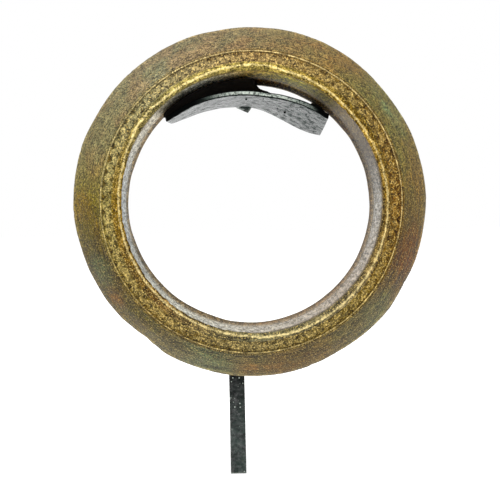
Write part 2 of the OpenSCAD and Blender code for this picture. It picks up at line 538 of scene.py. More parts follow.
# the bore's pale silver-grey is a painted reflection of the white surroundings
boreZones = [
    (0, (225, 190, 100)), (22, (225, 210, 61)), (45, (107, 86, 38)), (67, (68, 55, 44)),
    (90, (168, 166, 161)), (135, (157, 145, 133)), (180, (166, 161, 150)), (225, (189, 191, 179)),
    (270, (169, 177, 182)), (315, (187, 179, 155)), (338, (225, 225, 206)), (360, (225, 190, 100)),
]

# how strong each finish, painted highlight and painted shade is, at shares of a turn clockwise from the top
finishAndLightAround = {
    "dullLine": [(0.0, 0.0), (0.28, 0.1), (0.4, 0.3), (0.55, 0.4), (0.62, 0.55), (0.75, 0.45), (0.83, 0.15),
                 (0.92, 0.0)],
    # painted highlights along the raised line and the front lip's crest
    "lineHighlight": [(0.0, 0.5), (0.2, 0.4), (0.34, 0.1), (0.55, 0.05), (0.62, 0.0), (0.72, 0.0), (0.8, 0.25),
                   (1.0, 0.5)],
    "lipHighlight": [(0.0, 1.0), (0.12, 0.7), (0.2, 0.45), (0.3, 0.7), (0.44, 0.9), (0.56, 0.85), (0.66, 0.75),
                  (0.8, 0.6), (0.84, 1.0), (1.0, 1.0)],
    # painted shade in the bore
    "rearCreaseShade": [(0.0, 1.0), (0.44, 1.0), (0.54, 0.3), (0.86, 0.25), (0.95, 1.0)],
    # painted shade on the rear lip over the saddle
    "rearLipShade": [(0.0, 1.0), (0.1, 1.0), (0.14, 0.0), (0.9, 0.0), (0.94, 1.0)],
    "turned": [(0.22, 0.0), (0.31, 0.5), (0.52, 0.5), (0.58, 0.0)],
    "streaks": [(0.0, 0.25), (0.2, 0.4), (0.3, 0.95), (0.55, 0.95), (0.66, 0.4), (1.0, 0.25)],
}

bronzeTints = {name: linearColour(*tint) for name, tint in {
    "greener": (238, 244, 226),
    "browner": (255, 240, 222),
    "boreBrown": (176, 150, 108),
    # painted shade: near black for the rear lip over the saddle
    "rearLipShade": (14, 10, 5),
    "verdigris": (112, 140, 104),
    "rust": (138, 86, 48),
    "rubbed": (206, 186, 136),
    "fleck": (232, 206, 140),
    "pit": (30, 22, 8),
    "sunkDirt": (158, 138, 100),
    # painted highlight colour for the crests
    "crest": (228, 210, 158),
}.items()}

# the bore's shading from its front edge to its rear: a dark crease, then a browner strip
boreShading = [
    (0.08, linearColour(190, 176, 150)), (0.2, linearColour(232, 226, 214)), (0.3, (1, 1, 1, 1)),
    (0.66, (1, 1, 1, 1)), (0.71, linearColour(150, 138, 124)), (0.76, linearColour(228, 206, 170)),
    (0.92, linearColour(222, 196, 150)), (1.0, linearColour(150, 130, 100)),
]

# green corrosion: degrees clockwise from the top, radius and size in mm, strength
verdigris = [(57, 47.2, 2.4, 0.5), (62, 50.0, 3.5, 0.2), (247, 47.5, 4.0, 0.2), (324, 47.0, 3.0, 0.12),
             (288, 44.5, 3.5, 0.15), (192, 49.5, 5.5, 0.1), (130, 50.0, 5.0, 0.1)]

# red-brown stains, the same way
rust = [(182, 51.0, 3.5, 0.25), (108, 49.5, 4.5, 0.2), (236, 48.5, 2.6, 0.3), (216, 42.0, 1.3, 0.5),
        (175, 50.5, 3.0, 0.2), (40, 48.5, 4.0, 0.1)]


def spotNodes(surface, spots):
    # one mask of soft spots in the ring's front, broken up by noise
    total = 0.0
    for degrees, radius, size, strength in spots:
        turn = math.radians(degrees)
        spot = (radius * mm * math.sin(turn), -7 * mm, radius * mm * math.cos(turn))
        gap = vectorNode("DISTANCE", {0: surface.place, 1: spot}, "Value")
        reach = mathNode("DIVIDE", gap, 2 * size * mm)
        fade = times(rampNode(reach, [(0.25, 1.0), (1.0, 0.0)], "EASE"), strength)
        total = larger(total, fade)
    return times(total, rampNode(surface.mottle, [(0.34, 0.25), (0.6, 1.0)]))


def bronzeSurface(look):
    # what the shader knows about each point of the ring: its place, its masks and its noises
    place = objectCoordinates(ringCentre)
    parts = addNode("ShaderNodeSeparateXYZ", None, {0: place}).outputs
    flat = addNode("ShaderNodeCombineXYZ", None, {0: parts[0], 2: parts[2]}).outputs[0]
    radius = vectorNode("LENGTH", {0: flat}, "Value")
    direction = vectorNode("NORMALIZE", {0: flat})
    turn = mathNode("ARCTAN2", parts[0], parts[2])
    masks = attributeNode("areas")
    split = addNode("ShaderNodeSeparateColor", None, {0: masks.outputs["Color"]}).outputs
    surface = SimpleNamespace(
        place=place, depth=parts[1],
        share=mathNode("FRACT", plus(mathNode("DIVIDE", turn, 2 * math.pi), 1.0)),
        inBand=split[0], inLip=split[1], inBore=split[2], sunk=masks.outputs["Alpha"],
        worn=attributeNode("worn").outputs["Fac"],
        crest=attributeNode("crest").outputs["Fac"],
        blotch=noiseNode(place, look["blotchScale"], 3.0, 0.6),
        mottle=noiseNode(place, look["mottleScale"], 4.0, 0.7),
        grain=noiseNode(place, look["grainScale"], 3.0, 0.8),
        flecks=noiseNode(place, look["fleckScale"], 2.0, 0.6),
        pits=rampNode(noiseNode(place, look["pitScale"], 3.0, 0.65), [(0.33, 1.0), (0.43, 0.0)]),
        boreMarks=noiseNode(stretched(place, look["boreMarks"]), 1.0, 3.0, 0.75),
    )
    # streaks run round the ring, left by turning and filing
    around = vectorNode("SCALE", {0: direction, "Scale": look["streakTurns"]})
    lift = addNode("ShaderNodeCombineXYZ", None, {1: times(parts[1], look["streakLift"])}).outputs[0]
    surface.streak = noiseNode(vectorNode("ADD", {0: around, 1: lift}), 1.0, 3.0, 0.65,
                               w=times(radius, look["streakRows"]))
    # the raised line has gone dull on the lower left
    dull = times(surface.crest, outside(surface.inLip))
    dull = times(rampNode(surface.share, finishAndLightAround["dullLine"]), dull)
    surface.worn = times(surface.worn, outside(dull))
    return surface


def zoned(surface, table):
    return rampNode(surface.share, [(degrees / 360, linearColour(*c)) for degrees, c in table])


def bevelColour(surface):
    # a little greener or browner in patches
    bevel = zoned(surface, bevelZones)
    greener = tinted(bevel, bronzeTints["greener"])
    browner = tinted(bevel, bronzeTints["browner"])
    return mixColour(rampNode(surface.blotch, [(0.42, 0.0), (0.58, 1.0)]), browner, greener)


def boreColour(surface):
    # the bore's pale silver-grey is a painted reflection of the white surroundings; it turns browner towards
    # the lips
    bright = zoned(surface, boreZones)
    brown = tinted(bright, bronzeTints["boreBrown"])
    wander = minus(surface.mottle, 0.5)
    offMiddle = times(mathNode("ABSOLUTE", surface.depth), 1 / mm)
    nearLipShare = mathNode("DIVIDE", plus(offMiddle, times(wander, 9.0)), 16.0)
    bore = mixColour(rampNode(nearLipShare, [(0.5, 0.0), (0.78, 1.0)]), bright, brown)
    across = plus(times(surface.depth, 1 / (2 * halfWidth)), 0.5)
    shading = rampNode(plus(across, times(wander, 0.1)), boreShading)
    # painted shade across the bore from its front edge to its rear, full on the top and the right
    bore = tinted(bore, shading, rampNode(surface.share, finishAndLightAround["rearCreaseShade"]))
    # painted shade: the rear lip over the saddle is darkened to near black where it lies in shade
    rearLip = rampNode(times(surface.depth, 50.0), [(0.56, 0.0), (0.66, 1.0)])
    rearLipShade = times(rearLip, rampNode(surface.share, finishAndLightAround["rearLipShade"]))
    return mixColour(rearLipShade, bore, bronzeTints["rearLipShade"])


def bronzeBase(surface):
    # each area's own colour, then corrosion on the outside and rubbed places
    colour = mixColour(surface.inBand, bevelColour(surface), zoned(surface, bandZones))
    colour = mixColour(surface.inBore, colour, boreColour(surface))
    colour = mixColour(surface.inLip, colour, zoned(surface, lipZones))
    onOutside = outside(larger(surface.inBore, surface.inLip))
    for name, spots in (("verdigris", verdigris), ("rust", rust)):
        stain = times(spotNodes(surface, spots), onOutside)
        colour = mixColour(stain, colour, bronzeTints[name])
    rubbed = mixColour(0.6, colour, bronzeTints["rubbed"])
    patchy = rampNode(surface.mottle, [(0.35, 0.1), (0.6, 0.8)])
    return mixColour(times(surface.worn, patchy), colour, rubbed)


def bronzeGrain(surface, colour):
    # dark hollows, mottling and streaks, each a tone that darkens or lightens what is under it
    inBand, inLip, inBore = surface.inBand, surface.inLip, surface.inBore

    def tone(source, stops, gain):
        return times(rampNode(source, stops), gain)

    # turning marks take over from the grain on the lower right
    turned = rampNode(surface.share, finishAndLightAround["turned"])
    turned = times(turned, outside(inBand))
    grain = tone(surface.grain, [(0.37, 0.1), (0.46, 0.38), (0.54, 0.66), (0.63, 1.0)], 1.7)
    colour = tinted(colour, grain, outside(turned))
    patchShare = larger(times(inLip, 0.8), larger(times(inBore, 0.5), 0.4))
    patches = tone(surface.mottle, [(0.36, 0.22), (0.5, 0.56), (0.64, 1.0)], 1.6)
    colour = tinted(colour, patches, patchShare)
    streakShare = rampNode(surface.share, finishAndLightAround["streaks"])
    streakShare = times(streakShare, outside(larger(times(inBand, 0.7), inBore)))
    streaks = tone(surface.streak, [(0.38, 0.18), (0.5, 0.6), (0.62, 1.0)], 1.6)
    colour = tinted(colour, streaks, streakShare)
    # marks in the bore are drawn out along it
    boreMarks = tone(surface.boreMarks, [(0.39, 0.2), (0.5, 0.66), (0.61, 1.0)], 1.45)
    return tinted(colour, boreMarks, inBore)


def bronzeDetail(surface, colour):
    # pale flecks, small pits, dirt in the hollows, and a painted highlight along the crests with breaks in it
    fleck = rampNode(surface.flecks, [(0.56, 0.0), (0.66, 1.0)])
    inside = larger(surface.inBand, larger(surface.inBore, surface.inLip))
    fleck = times(fleck, plus(times(inside, 0.35), 0.5))
    colour = mixColour(fleck, colour, mixColour(0.6, colour, bronzeTints["fleck"]))
    colour = mixColour(times(surface.pits, 0.85), colour, bronzeTints["pit"])
    dirty = tinted(colour, bronzeTints["sunkDirt"])
    colour = mixColour(times(surface.sunk, 0.85), colour, dirty)
    # painted highlight: a pale line along the crests of the raised line and the front lip, strongest at the
    # top where the light falls
    breaks = times(rampNode(surface.mottle, [(0.38, 0.4), (0.5, 1.0)]),
                   rampNode(surface.grain, [(0.4, 0.25), (0.52, 1.0)]))
    lineShare = rampNode(surface.share, finishAndLightAround["lineHighlight"])
    lipShare = times(surface.inLip, rampNode(surface.share, finishAndLightAround["lipHighlight"]))
    bright = times(times(surface.crest, breaks), larger(lineShare, lipShare))
    return mixColour(times(bright, 0.75), colour, bronzeTints["crest"])


def makeBronze():
    material, shader = newMaterial("patinatedBronze")
    look = bronzeLook
    surface = bronzeSurface(look)
    colour = bronzeBase(surface)
    colour = bronzeGrain(surface, colour)
    colour = bronzeDetail(surface, colour)
    warming = {"Saturation": look["warmth"], "Fac": outside(surface.inBore), "Color": colour}
    warm = addNode("ShaderNodeHueSaturation", None, warming).outputs[0]
    plug(warm, shader.inputs["Base Color"])
    plug(larger(times(surface.inLip, 0.7), 0.4), shader.inputs["Metallic"])
    rough = 0.56
    smoother = [(surface.worn, 0.16), (surface.crest, 0.14), (surface.inBore, 0.12), (surface.inLip, 0.1)]
    for mask, drop in smoother:
        rough = minus(rough, times(mask, drop))
    rough = mathNode("ADD", rough, times(surface.mottle, 0.12), True)
    plug(rough, shader.inputs["Roughness"])
    shader.inputs["Specular IOR Level"].default_value = look["gloss"]
    height = plus(surface.grain, times(surface.flecks, 0.5))
    height = plus(height, times(surface.streak, 0.6))
    height = minus(height, times(surface.pits, 0.5))
    plugBump(shader, height, 0.9, look["bumpDepth"])
    print("made bronze")
    return material


paintLook = {
    "dark": (16, 20, 19),
    "light": (38, 52, 47),
    # pale bare metal for chips, also used for painted glints and the painted highlight on the strip's front
    # edge
    "worn": (186, 196, 186),
    "shaded": (5, 6, 6),
    "brushScale": (260, 900, 420),    # brush marks, per metre along each axis
    "dashScale": (480, 520, 800),
    "cloudScale": 160.0,
    "grainScale": 750.0,
    "speckScale": 900.0,
    "chipScale": 1300.0,
    "bumpDepth": 0.00022,
}


def makePaint():
    material, shader = newMaterial("blackPaint")
    look = paintLook
    place = objectCoordinates()
    parts = addNode("ShaderNodeSeparateXYZ", None, {0: place}).outputs
    height = times(parts[2], 10.0)         # in tenths of a metre
    grain = noiseNode(place, look["grainScale"], 3.0, 0.7)
    brush = noiseNode(stretched(place, look["brushScale"]), 1.0, 4.0, 0.7, 0.6)
    cloud = noiseNode(place, look["cloudScale"], 2.0, 0.5)
    paleMetalAndGlint = linearColour(*look["worn"])
    base = mixColour(rampNode(brush, [(0.34, 0.0), (0.66, 1.0)]), linearColour(*look["dark"]),
                     linearColour(*look["light"]))
    # painted shade: darker higher up, blackest where the post runs up into the ring's shade
    base = tinted(base, rampNode(height, [(0.14, 1.0), (0.31, 0.12), (0.7, 0.5), (1.0, 1.0)]))
    # small light specks: painted glints on the paint, and some bare metal, more of them just below the ring
    cells = addNode("ShaderNodeTexVoronoi", None, {"Vector": place, "Scale": look["speckScale"]})
    speck = rampNode(cells.outputs["Distance"], [(0.14, 1.0), (0.26, 0.0)])
    nearRing = rampNode(height, [(0.18, 0.0), (0.34, 0.13), (0.45, 0.0)])
    patch = rampNode(plus(cloud, nearRing), [(0.55, 0.0), (0.66, 1.0)])
    colour = mixColour(times(times(speck, patch), 0.7), base, paleMetalAndGlint)
    # pale chipped edges, with a painted highlight along the strip's front edge, and painted shade that leaves
    # places black
    chipsAndSheen = rampNode(noiseNode(place, look["chipScale"], 3.0, 0.7), [(0.42, 0.15), (0.54, 1.0)])
    chipsAndSheen = times(attributeNode("edge").outputs["Fac"], chipsAndSheen)
    shade = attributeNode("shade").outputs["Fac"]
    colour = mixColour(times(chipsAndSheen, 0.95), colour, paleMetalAndGlint)
    colour = mixColour(shade, colour, linearColour(*look["shaded"]))
    plug(colour, shader.inputs["Base Color"])
    plug(rampNode(brush, [(0.3, 0.16), (0.7, 0.44)]), shader.inputs["Roughness"])
    # the coat is duller and dirtier towards the right-hand end of the saddle
    rightward = times(plus(parts[0], 0.01), 25.0)
    gloss = rampNode(rightward, [(0.1, 0.5), (0.5, 0.32), (0.9, 0.2)])
    gloss = times(gloss, outside(shade))
    gloss = times(gloss, rampNode(height, [(0.2, 0.85), (0.33, 0.3), (0.7, 1.0)]))
    # short marks break up the shine, most of all on the saddle strip, which lies in front of the bars
    dashes = noiseNode(stretched(place, look["dashScale"]), 1.0, 3.0, 0.75, 0.4)
    dashes = minus(rampNode(dashes, [(0.42, 0.04), (0.5, 0.8), (0.58, 1.9)]), 0.8)
    onStrip = rampNode(times(parts[1], -100.0), [(0.26, 0.3), (0.36, 1.0)])
    dashes = plus(times(dashes, onStrip), 0.8)
    grainShine = rampNode(grain, [(0.4, 0.5), (0.5, 0.95), (0.6, 1.5)])
    gloss = times(gloss, times(dashes, grainShine))
    plug(gloss, shader.inputs["Specular IOR Level"])
    relief = plus(times(grain, 0.7), brush)
    plugBump(shader, minus(relief, times(chipsAndSheen, 0.5)), 0.75, look["bumpDepth"])
    print("made paint")
    return material


feltLook = {
    "dark": (4, 3, 4),
    "light": (26, 22, 20),
    "clouded": (10, 8, 8),
    "fibreScale": 1500.0,
    "cloudScale": 200.0,
    "roughness": 0.95,
    "gloss": 0.15,
    "bumpDepth": 0.0002,
}


def makeFelt():
    material, shader = newMaterial("blackFelt")
    look = feltLook
    place = objectCoordinates()
    fibre = noiseNode(place, look["fibreScale"], 3.0, 0.7, 1.5)
    cloud = noiseNode(place, look["cloudScale"], 2.0, 0.5)
    colour = mixColour(fibre, linearColour(*look["dark"]), linearColour(*look["light"]))
    colour = mixColour(times(cloud, 0.5), colour, linearColour(*look["clouded"]))
    plug(colour, shader.inputs["Base Color"])
    shader.inputs["Roughness"].default_value = look["roughness"]
    shader.inputs["Specular IOR Level"].default_value = look["gloss"]
    plugBump(shader, fibre, 0.8, look["bumpDepth"])
    print("made felt")
    return material


# the strip's underside, mm from the ring's centre: front edge, then the rear edge that was bent by hand
stripShape = {
    "frontEdge": [
        (-24.3, 23.9), (-22, 25.1), (-18.3, 27.2), (-15.4, 28.6), (-12.1, 29.7), (-9.2, 30.4), (-5.6, 30.9),
        (-1.9, 31.1), (1.7, 30.9), (5.3, 30.4), (9, 29.8), (12.6, 28.8), (16.2, 27.5), (19.8, 25.7),
        (22.9, 23.8),
    ],
    "rearEdge": [
        (-23.9, 25.3), (-21.1, 26.1), (-18.6, 27), (-16, 28), (-13.5, 28.8), (-10.9, 29.35), (-8.4, 29.8),
        (-5.9, 30.05), (-2.5, 30.1), (0.5, 30), (3, 29.5), (5.5, 28.7), (8, 27.5), (10.5, 26.1), (13, 24.7),
        (15.5, 23.4), (18, 22.3), (20.5, 21.4), (23.1, 20.8),
    ],
    "leftEnd": -24.3,
    "rightEnd": 22.9,
    "leftSlant": 0.4,         # how much further right each end lies at the rear
    "rightSlant": 0.2,
    "reach": (-24.6, 23.3),   # the upper side stays between these
    "thickness": 1.5,
    "slopeAt": 14,            # how far behind the front the bend's slope is taken
    "unevenness": [(0.10, 0.007, 4.0), (0.03, 0.0022, 9.0)],     # depth mm, lump size m, seed
    "edgeRound": 0.28,
    "wallCuts": 8,
    "drips": [(-0.7, 6.5, 0.34), (11.2, 15.0, 0.36), (8.9, 14.0, 0.2), (4.2, 4.0, 0.16)],
    "columns": 118,
    "rows": 66,
}

padShapes = {
    "feltPadLeft": {
        "left": -25.4, "right": 9.2, "setback": 8.0, "round": 0.8, "node": "saddle_pad_left",
        "top": [(-30, 40), (1.0, 40), (2.1, 35.9), (2.8, 34.8), (3.5, 34.0), (4.4, 33.6), (5.5, 33.3),
                (6.7, 32.7), (7.9, 32.1), (9.2, 31.3), (12, 30)],
    },
    "feltPadRight": {
        "left": 18.0, "right": 22.8, "setback": 1.6, "round": 0.5, "node": "saddle_pad_right",
        "top": [(16, 28.6), (18.0, 29.0), (19.4, 28.9), (20.4, 28.2), (21.6, 27.0), (22.8, 25.6), (24, 24.5)],
    },
}

# what both pads share, mm
feltSheet = {
    "cell": (0.28, 0.3),      # mesh spacing along the strip and across it
    "lift": 0.12,             # off the strip
    "thinnest": 0.12,
    "sag": 0.12,
    "rearGap": 0.7,
    "boreRadius": 37.2,       # the ring's lip presses the felt back to this
    "boreGap": 0.05,
    "rimShare": 0.55,         # how much of its height the felt keeps at the rim
    "fuzz": [(0.05, 0.0009, 3.0), (0.08, 0.004, 8.0)],           # depth mm, lump size m, seed
    "edgeRound": 0.12,
    "spareHeight": 0.3,
}

barShape = {
    "armRadius": 46.5,
    "round": 0.32,
    "sideCuts": 9,
    "uneven": 0.03,
    "postSteps": 60,
    "holeSides": 16,
    "holeSteps": 12,
    "armSteps": 150,
    "hangerSteps": 26,
    "tipPlace": 1.3,          # the hanger's point, right of its middle
    "tipRises": (0.45, 1.3),  # how steeply the cut rises to its left and right
}

armInner = barShape["armRadius"] * mm - barSide / 2
armOuter = barShape["armRadius"] * mm + barSide / 2

weldShape = {
    "radius": 0.75,
    "inset": 0.4,             # from the bar's corners
    "hangerHeight": 43.9,     # above the ring's centre
    "steps": 36,
    "sides": 16,
    "endShare": 0.3,          # how thick the bead is at its ends
    "endSlope": 6,
    "ripple": 0.12,
    "rippleTurn": 1.9,
}


def curveHeight(table, x):
    # smooth height on a table of (x, z), by Catmull-Rom between its points
    last = len(table) - 1
    i = next((k for k in range(last) if table[k + 1][0] >= x), last - 1)
    (x1, z1), (x2, z2) = table[i], table[i + 1]
    z0 = table[max(i - 1, 0)][1]
    z3 = table[min(i + 2, last)][1]
    t = min(max((x - x1) / (x2 - x1), -0.5), 1.5)
    square = 2 * z0 - 5 * z1 + 4 * z2 - z3
    cube = 3 * z1 - z0 - 3 * z2 + z3
    return 0.5 * (2 * z1 + (z2 - z0) * t + square * t * t + cube * t ** 3)


def straightHeight(table, x):
    for (a, za), (b, zb) in zip(table, table[1:]):
        if a <= x <= b:
            return za + (zb - za) * (x - a) / (b - a)
    return table[-1][1]


def stripHeight(x, y):
    # underside of the strip in mm above the ring's centre, at x from the centre and y from the strip's front
    front = curveHeight(stripShape["frontEdge"], x)
    rear = curveHeight(stripShape["rearEdge"], x)
    return front + (rear - front) * (y / stripLength)


def stripPlace(x, y, z):
    # mm right of the ring's centre, behind the strip's front and above the ring's centre
    return Vector((ringCentre.x + x * mm, stripLow.y + y * mm, ringCentre.z + z * mm))


def layeredRoll(layers, x, y):
    return sum(depth * roll(x * mm, y * mm, 0, size, seed) for depth, size, seed in layers)


def sharpEdges(bm, degrees):
    return [e for e in bm.edges if len(e.link_faces) == 2 and e.calc_face_angle() > math.radians(degrees)]


def openEdges(bm):
    return [e for e in bm.edges if e.is_boundary]


def isTallEdge(edge):
    rise = abs((edge.verts[0].co - edge.verts[1].co).normalized().z)
    return edge.calc_length() > 0.6 * mm and rise > 0.6


def bevelEdges(bm, edges, width, segments=3):
    bmesh.ops.bevel(bm, geom=edges, offset=width, offset_type="OFFSET", segments=segments, profile=0.5,
                    affect="EDGES", material=-1, clamp_overlap=True)


def thicken(bm):
    # a second copy of a sheet's faces, joined to the first by walls; returns the copy's points
    sheet = bm.faces[:] + bm.edges[:] + bm.verts[:]
    return newVerts(bmesh.ops.extrude_face_region(bm, geom=sheet, use_keep_orig=True))


def markEdges(bm, shaded=None, always=None):
    # stores where the edges are pale, with worn paint and on the strip a painted highlight, and where painted
    # shade leaves them black
    edge = bm.verts.layers.float.new("edge")
    shade = bm.verts.layers.float.new("shade")
    for v in bm.verts:
        spread = min((v.normal.dot(f.normal) for f in v.link_faces), default=1.0)
        v[edge] = max(0.5 * smoothStep(0.02, 0.25, 1 - spread), always(v) if always else 0.0)
        v[shade] = shaded(v) if shaded else 0.0


def stripShade(v):
    # painted shade: a thin black line under the paled front edge, black along the edge's top and over the
    # strip's ends, and black drips
    x = (v.co.x - ringCentre.x) / mm
    for dripX, dripY, size in stripShape["drips"]:
        if math.hypot(x - dripX, (v.co.y - stripLow.y) / mm - dripY) < size + 0.02:
            return 1.0
    if v.co.y > stripLow.y + 0.5 * mm:
        return 0.0
    up = (v.co.z - ringCentre.z) / mm - stripHeight(x, 0)
    line = smoothStep(0.05, 0.12, up) * (1 - smoothStep(0.28, 0.4, up))
    top = smoothStep(1.15, 1.35, up)
    ends = max(1 - smoothStep(-16, -10, x), smoothStep(18, 20.5, x))
    return max(line, top, smoothStep(0.1, 0.3, up) * ends)


def stripWearAndHighlight(v):
    # the upper part of the front edge is paled along the middle: a painted highlight where the rounded edge
    # catches the light from above, with the paint rubbed to the metal in places
    x = (v.co.x - ringCentre.x) / mm
    if v.co.y > stripLow.y + 0.9 * mm:
        return 0.0
    up = (v.co.z - ringCentre.z) / mm - stripHeight(x, 0)
    along = smoothStep(-14, -3, x) * (1 - 0.6 * smoothStep(7, 16, x)) * (1 - smoothStep(17, 20, x))
    return smoothStep(0.3, 0.42, up) * (1 - smoothStep(1.1, 1.3, up)) * along


def makeStrip(material):
    shape = stripShape
    bm = bmesh.new()
    bmesh.ops.create_grid(bm, x_segments=shape["columns"], y_segments=shape["rows"], size=0.5)
    for v in bm.verts:
        y = (v.co.y + 0.5) * stripLength
        share = y / stripLength
        left = shape["leftEnd"] + shape["leftSlant"] * share
        right = shape["rightEnd"] + shape["rightSlant"] * share
        x = left + (v.co.x + 0.5) * (right - left)
        v.co = stripPlace(x, y, stripHeight(x, y) + layeredRoll(shape["unevenness"], x, y))
    bmesh.ops.recalc_face_normals(bm, faces=bm.faces[:])
    if sum(f.normal.z for f in bm.faces) < 0:
        bmesh.ops.reverse_faces(bm, faces=bm.faces[:])
    leftmost, rightmost = (ringCentre.x + end * mm for end in shape["reach"])
    for v in thicken(bm):
        x = (v.co.x - ringCentre.x) / mm
        slope = stripHeight(x + 0.5, shape["slopeAt"]) - stripHeight(x - 0.5, shape["slopeAt"])
        v.co += Vector((-slope, 0, 1)).normalized() * (shape["thickness"] * mm)
        v.co.x = min(max(v.co.x, leftmost), rightmost)
    bmesh.ops.recalc_face_normals(bm, faces=bm.faces[:])
    bevelEdges(bm, sharpEdges(bm, 60), shape["edgeRound"] * mm)
    # the edge faces are cut into rows so their wear, painted highlight and painted shade can be drawn
    walls = [e for e in bm.edges if isTallEdge(e)]
    bmesh.ops.subdivide_edges(bm, edges=walls, cuts=shape["wallCuts"], use_grid_fill=True)
    # small drips of paint hang under it
    for x, y, size in shape["drips"]:
        place = Matrix.Translation(stripPlace(x, y, stripHeight(x, y) - 0.3 * size))
        bmesh.ops.create_icosphere(bm, subdivisions=3, radius=size * mm, matrix=place)
    bm.normal_update()
    markEdges(bm, stripShade, stripWearAndHighlight)
    return pieceFromMesh(bm, "saddleStrip", "stand", material, ["saddle_strip"])


def padHeights(shape, rear, x, y):
    # heights in mm of the felt's lower and upper sides, the upper rounded off at the rim
    sheet = feltSheet
    base = stripHeight(x, y) + stripShape["thickness"] + sheet["lift"]
    underRing = math.sqrt(max(sheet["boreRadius"] ** 2 - x * x, 1.0)) - sheet["boreGap"]
    full = max(min(straightHeight(shape["top"], x), underRing) - base, sheet["thinnest"])
    inset = min(x - shape["left"], shape["right"] - x, y - shape["setback"], rear - y)
    edge = min(inset / shape["round"], 1.0)
    curve = math.sqrt(max(1 - (1 - edge) ** 2, 0.0))
    rise = full * (sheet["rimShare"] + (1 - sheet["rimShare"]) * curve)
    return base, base + rise - sheet["sag"] + layeredRoll(sheet["fuzz"], x, y) * edge


def makePad(name, shape, material):
    # a felt pad that lies on the strip
    sheet = feltSheet
    bm = bmesh.new()
    front = shape["setback"]
    rear = stripLength - sheet["rearGap"]
    columns = int((shape["right"] - shape["left"]) / sheet["cell"][0])
    rows = int((rear - front) / sheet["cell"][1])
    bmesh.ops.create_grid(bm, x_segments=columns, y_segments=rows, size=0.5)
    tops = {}
    for v in bm.verts:
        x = shape["left"] + (v.co.x + 0.5) * (shape["right"] - shape["left"])
        y = front + (v.co.y + 0.5) * (rear - front)
        base, top = padHeights(shape, rear, x, y)
        v.co = stripPlace(x, y, base)
        tops[(round(x, 4), round(y, 4))] = top
    for v in thicken(bm):
        key = (round((v.co.x - ringCentre.x) / mm, 4), round((v.co.y - stripLow.y) / mm, 4))
        v.co.z = ringCentre.z + tops.get(key, (v.co.z - ringCentre.z) / mm + sheet["spareHeight"]) * mm
    bmesh.ops.recalc_face_normals(bm, faces=bm.faces[:])
    bevelEdges(bm, sharpEdges(bm, 62), sheet["edgeRound"] * mm, 2)
    pad = pieceFromMesh(bm, name, "stand", material, [shape["node"]])
    return pad


def joinedUp(bm, loop):
    # edges from each point to the next, and from the last to the first
    return [bm.edges.new((a, b)) for a, b in zip(loop, loop[1:] + loop[:1])]


def squareSection(bm, across, up, centre):
    # the bars' rounded square of edges round a centre, in the plane of two directions
    roundness = barShape["round"] * mm
    reach = barSide / 2 - roundness
    cuts = barShape["sideCuts"]
    outline = []
    for turn in range(4):
        # a rounded corner, then the flat side that follows it
        start = math.radians(turn * 90)
        corner = Vector((math.cos(start) - math.sin(start), math.sin(start) + math.cos(start))) * reach
        for step in range(4):
            angle = start + math.radians(step * 30)
            outline.append(corner + Vector((math.cos(angle), math.sin(angle))) * roundness)
        along = Vector((-math.sin(start + math.pi / 2), math.cos(start + math.pi / 2))) * (2 * reach)
        outline += [outline[-1] + along * (i / (cuts + 1)) for i in range(1, cuts + 1)]
    corners = [bm.verts.new(centre + across * p.x + up * p.y) for p in outline]
    return corners, joinedUp(bm, corners)


def extrudeLoop(bm, edges, move):
    grown = bmesh.ops.extrude_edge_only(bm, edges=edges)
    verts = newVerts(grown)
    for v in verts:
        v.co += move
    return verts, [g for g in grown["geom"] if isinstance(g, bmesh.types.BMEdge) and g.is_boundary]


def extrudeUp(bm, edges, rise, steps):
    for _ in range(steps):
        verts, edges = extrudeLoop(bm, edges, Vector((0, 0, rise / steps)))
    return verts, edges


def roughen(bm, seed):
    # hot-rolled bar is never quite flat
    bmesh.ops.recalc_face_normals(bm, faces=bm.faces[:])
    bm.normal_update()
    for v in bm.verts:
        x, y, z = v.co
        dip = 0.6 + 0.5 * roll(x, y, z, 0.006, seed) + 0.3 * roll(x, y, z, 0.0016, seed)
        v.co -= v.normal * (barShape["uneven"] * mm * max(dip, 0.0))


def finishBar(bm, name, material, replaced=()):
    bmesh.ops.recalc_face_normals(bm, faces=bm.faces[:])
    bm.normal_update()
    markEdges(bm)
    return pieceFromMesh(bm, name, "stand", material, replaced)


def makePost(material):
    shape = barShape
    bm = bmesh.new()
    edges = squareSection(bm, Vector((1, 0, 0)), Vector((0, 1, 0)), Vector((0, 0, 0)))[1]
    # foot, with the tapped hole
    hole = frame["record"]["mounts"][0]["dims"]
    circle = bmesh.ops.create_circle(bm, radius=hole["r_mm"] * mm, segments=shape["holeSides"],
                                     cap_ends=False)["verts"]
    rim = list({e for v in circle for e in v.link_edges})
    bmesh.ops.bridge_loops(bm, edges=edges + rim)
    inner = extrudeUp(bm, rim, hole["length_mm"] * mm, shape["holeSteps"])[1]
    bmesh.ops.holes_fill(bm, edges=inner)
    verts, outer = extrudeUp(bm, edges, postHigh.z, shape["postSteps"])
    # the top is coped to the arm's curve
    for v in verts:
        run = v.co.x - ringCentre.x
        v.co.z = ringCentre.z - math.sqrt(armOuter ** 2 - run * run)
    bmesh.ops.holes_fill(bm, edges=outer)
    roughen(bm, 2.0)
    for v in bm.verts:
        v.co.z = max(v.co.z, 0.0)
    return finishBar(bm, "squarePost", material, ["post"])


def makeArm(material):
    bm = bmesh.new()
    radius = barShape["armRadius"] * mm
    centre = Vector((ringCentre.x, 0, ringCentre.z))
    # the top end is flush with the hanger and the lower end with the post
    start = math.asin((hangerHigh.x - ringCentre.x) / radius)
    sweep = math.pi + start - math.asin((ringCentre.x - postHigh.x) / radius)
    first = Vector((math.sin(start), 0, math.cos(start)))
    corners, edges = squareSection(bm, first, Vector((0, 1, 0)), centre + first * radius)
    bmesh.ops.spin(bm, geom=corners + edges, cent=centre, axis=(0, 1, 0), angle=-sweep,
                   steps=barShape["armSteps"], use_merge=False, use_duplicate=False)
    bmesh.ops.holes_fill(bm, edges=openEdges(bm))
    roughen(bm, 6.0)
    return finishBar(bm, "bentArm", material, ["support_arm"])


